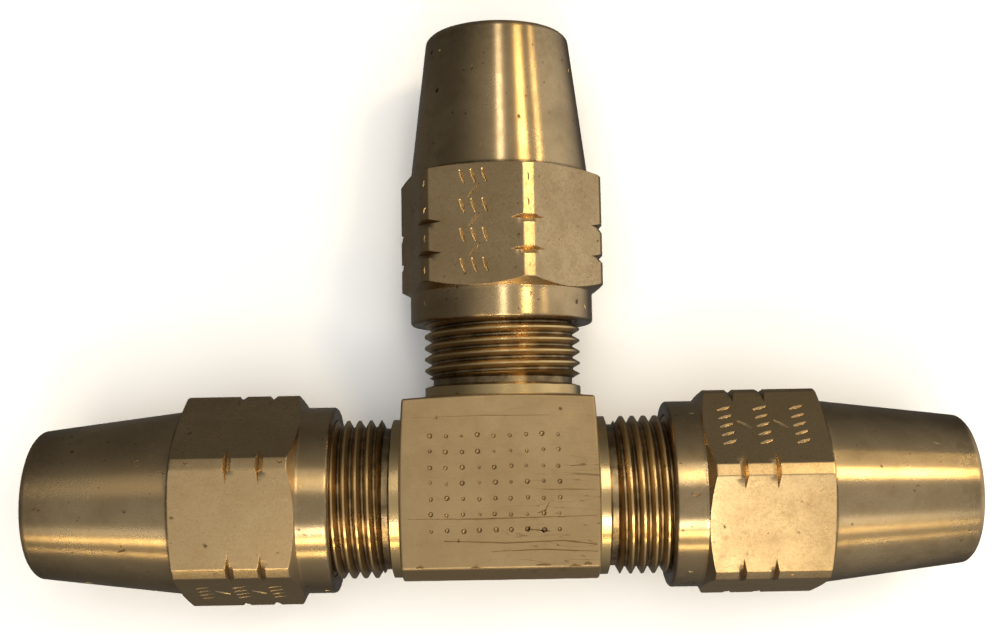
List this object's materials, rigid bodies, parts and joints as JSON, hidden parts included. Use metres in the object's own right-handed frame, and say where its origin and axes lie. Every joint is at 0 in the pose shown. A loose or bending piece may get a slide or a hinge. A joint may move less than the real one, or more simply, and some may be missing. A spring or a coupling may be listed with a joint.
{
  "type": "compression union tee",
  "caption": "Brass compression union tee for air-brake tube: threaded tee body with a hexagon tube nut, sleeve and tube support at each end.",
  "frame": {"origin": "where the run axis and the branch axis cross, inside the tee block", "axes": "+X along the run towards the right nut, +Y along the branch, +Z out of the block's front face, so the tee lies flat"},
  "size_m": [0.1026, 0.0639, 0.023],
  "materials": {
    "tee_brass": "sawn and turned brass, dulled",
    "nut_brass": "turned brass with drawn hexagon flats, dulled",
    "sleeve_brass": "turned brass",
    "support_brass": "drawn brass tube"
  },
  "bodies": {
    "tee": {"tee_body": "tee_brass", "tube_support_left": "support_brass", "tube_support_right": "support_brass", "tube_support_branch": "support_brass"},
    "left_sleeve": {"sleeve_left": "sleeve_brass"},
    "left_nut": {"tube_nut_left": "nut_brass"},
    "right_sleeve": {"sleeve_right": "sleeve_brass"},
    "right_nut": {"tube_nut_right": "nut_brass"},
    "branch_sleeve": {"sleeve_branch": "sleeve_brass"},
    "branch_nut": {"tube_nut_branch": "nut_brass"}
  },
  "joints": [
    {"name": "left_sleeve_slide", "type": "slide", "parent": "tee", "child": "left_sleeve", "axis": [-1, 0, 0], "range_m": [-0.0037, 0.00485]},
    {"name": "left_nut_turn", "type": "hinge", "parent": "left_sleeve", "child": "left_nut", "pos_m": [-0.01857, 0, 0], "axis": [-1, 0, 0], "range_deg": [-1044, 1368]},
    {"name": "right_sleeve_slide", "type": "slide", "parent": "tee", "child": "right_sleeve", "axis": [1, 0, 0], "range_m": [-0.00408, 0.00447]},
    {"name": "right_nut_turn", "type": "hinge", "parent": "right_sleeve", "child": "right_nut", "pos_m": [0.01785, 0, 0], "axis": [1, 0, 0], "range_deg": [-1152, 1260]},
    {"name": "branch_sleeve_slide", "type": "slide", "parent": "tee", "child": "branch_sleeve", "axis": [0, 1, 0], "range_m": [-0.00447, 0.00408]},
    {"name": "branch_nut_turn", "type": "hinge", "parent": "branch_sleeve", "child": "branch_nut", "pos_m": [0, 0.01919, 0], "axis": [0, 1, 0], "range_deg": [-1260, 1152]}
  ],
  "couplings": [
    {"joint": "left_sleeve_slide", "follows": "left_nut_turn", "m_per_rad": 0.00020213},
    {"joint": "right_sleeve_slide", "follows": "right_nut_turn", "m_per_rad": 0.00020213},
    {"joint": "branch_sleeve_slide", "follows": "branch_nut_turn", "m_per_rad": 0.00020213}
  ]
}
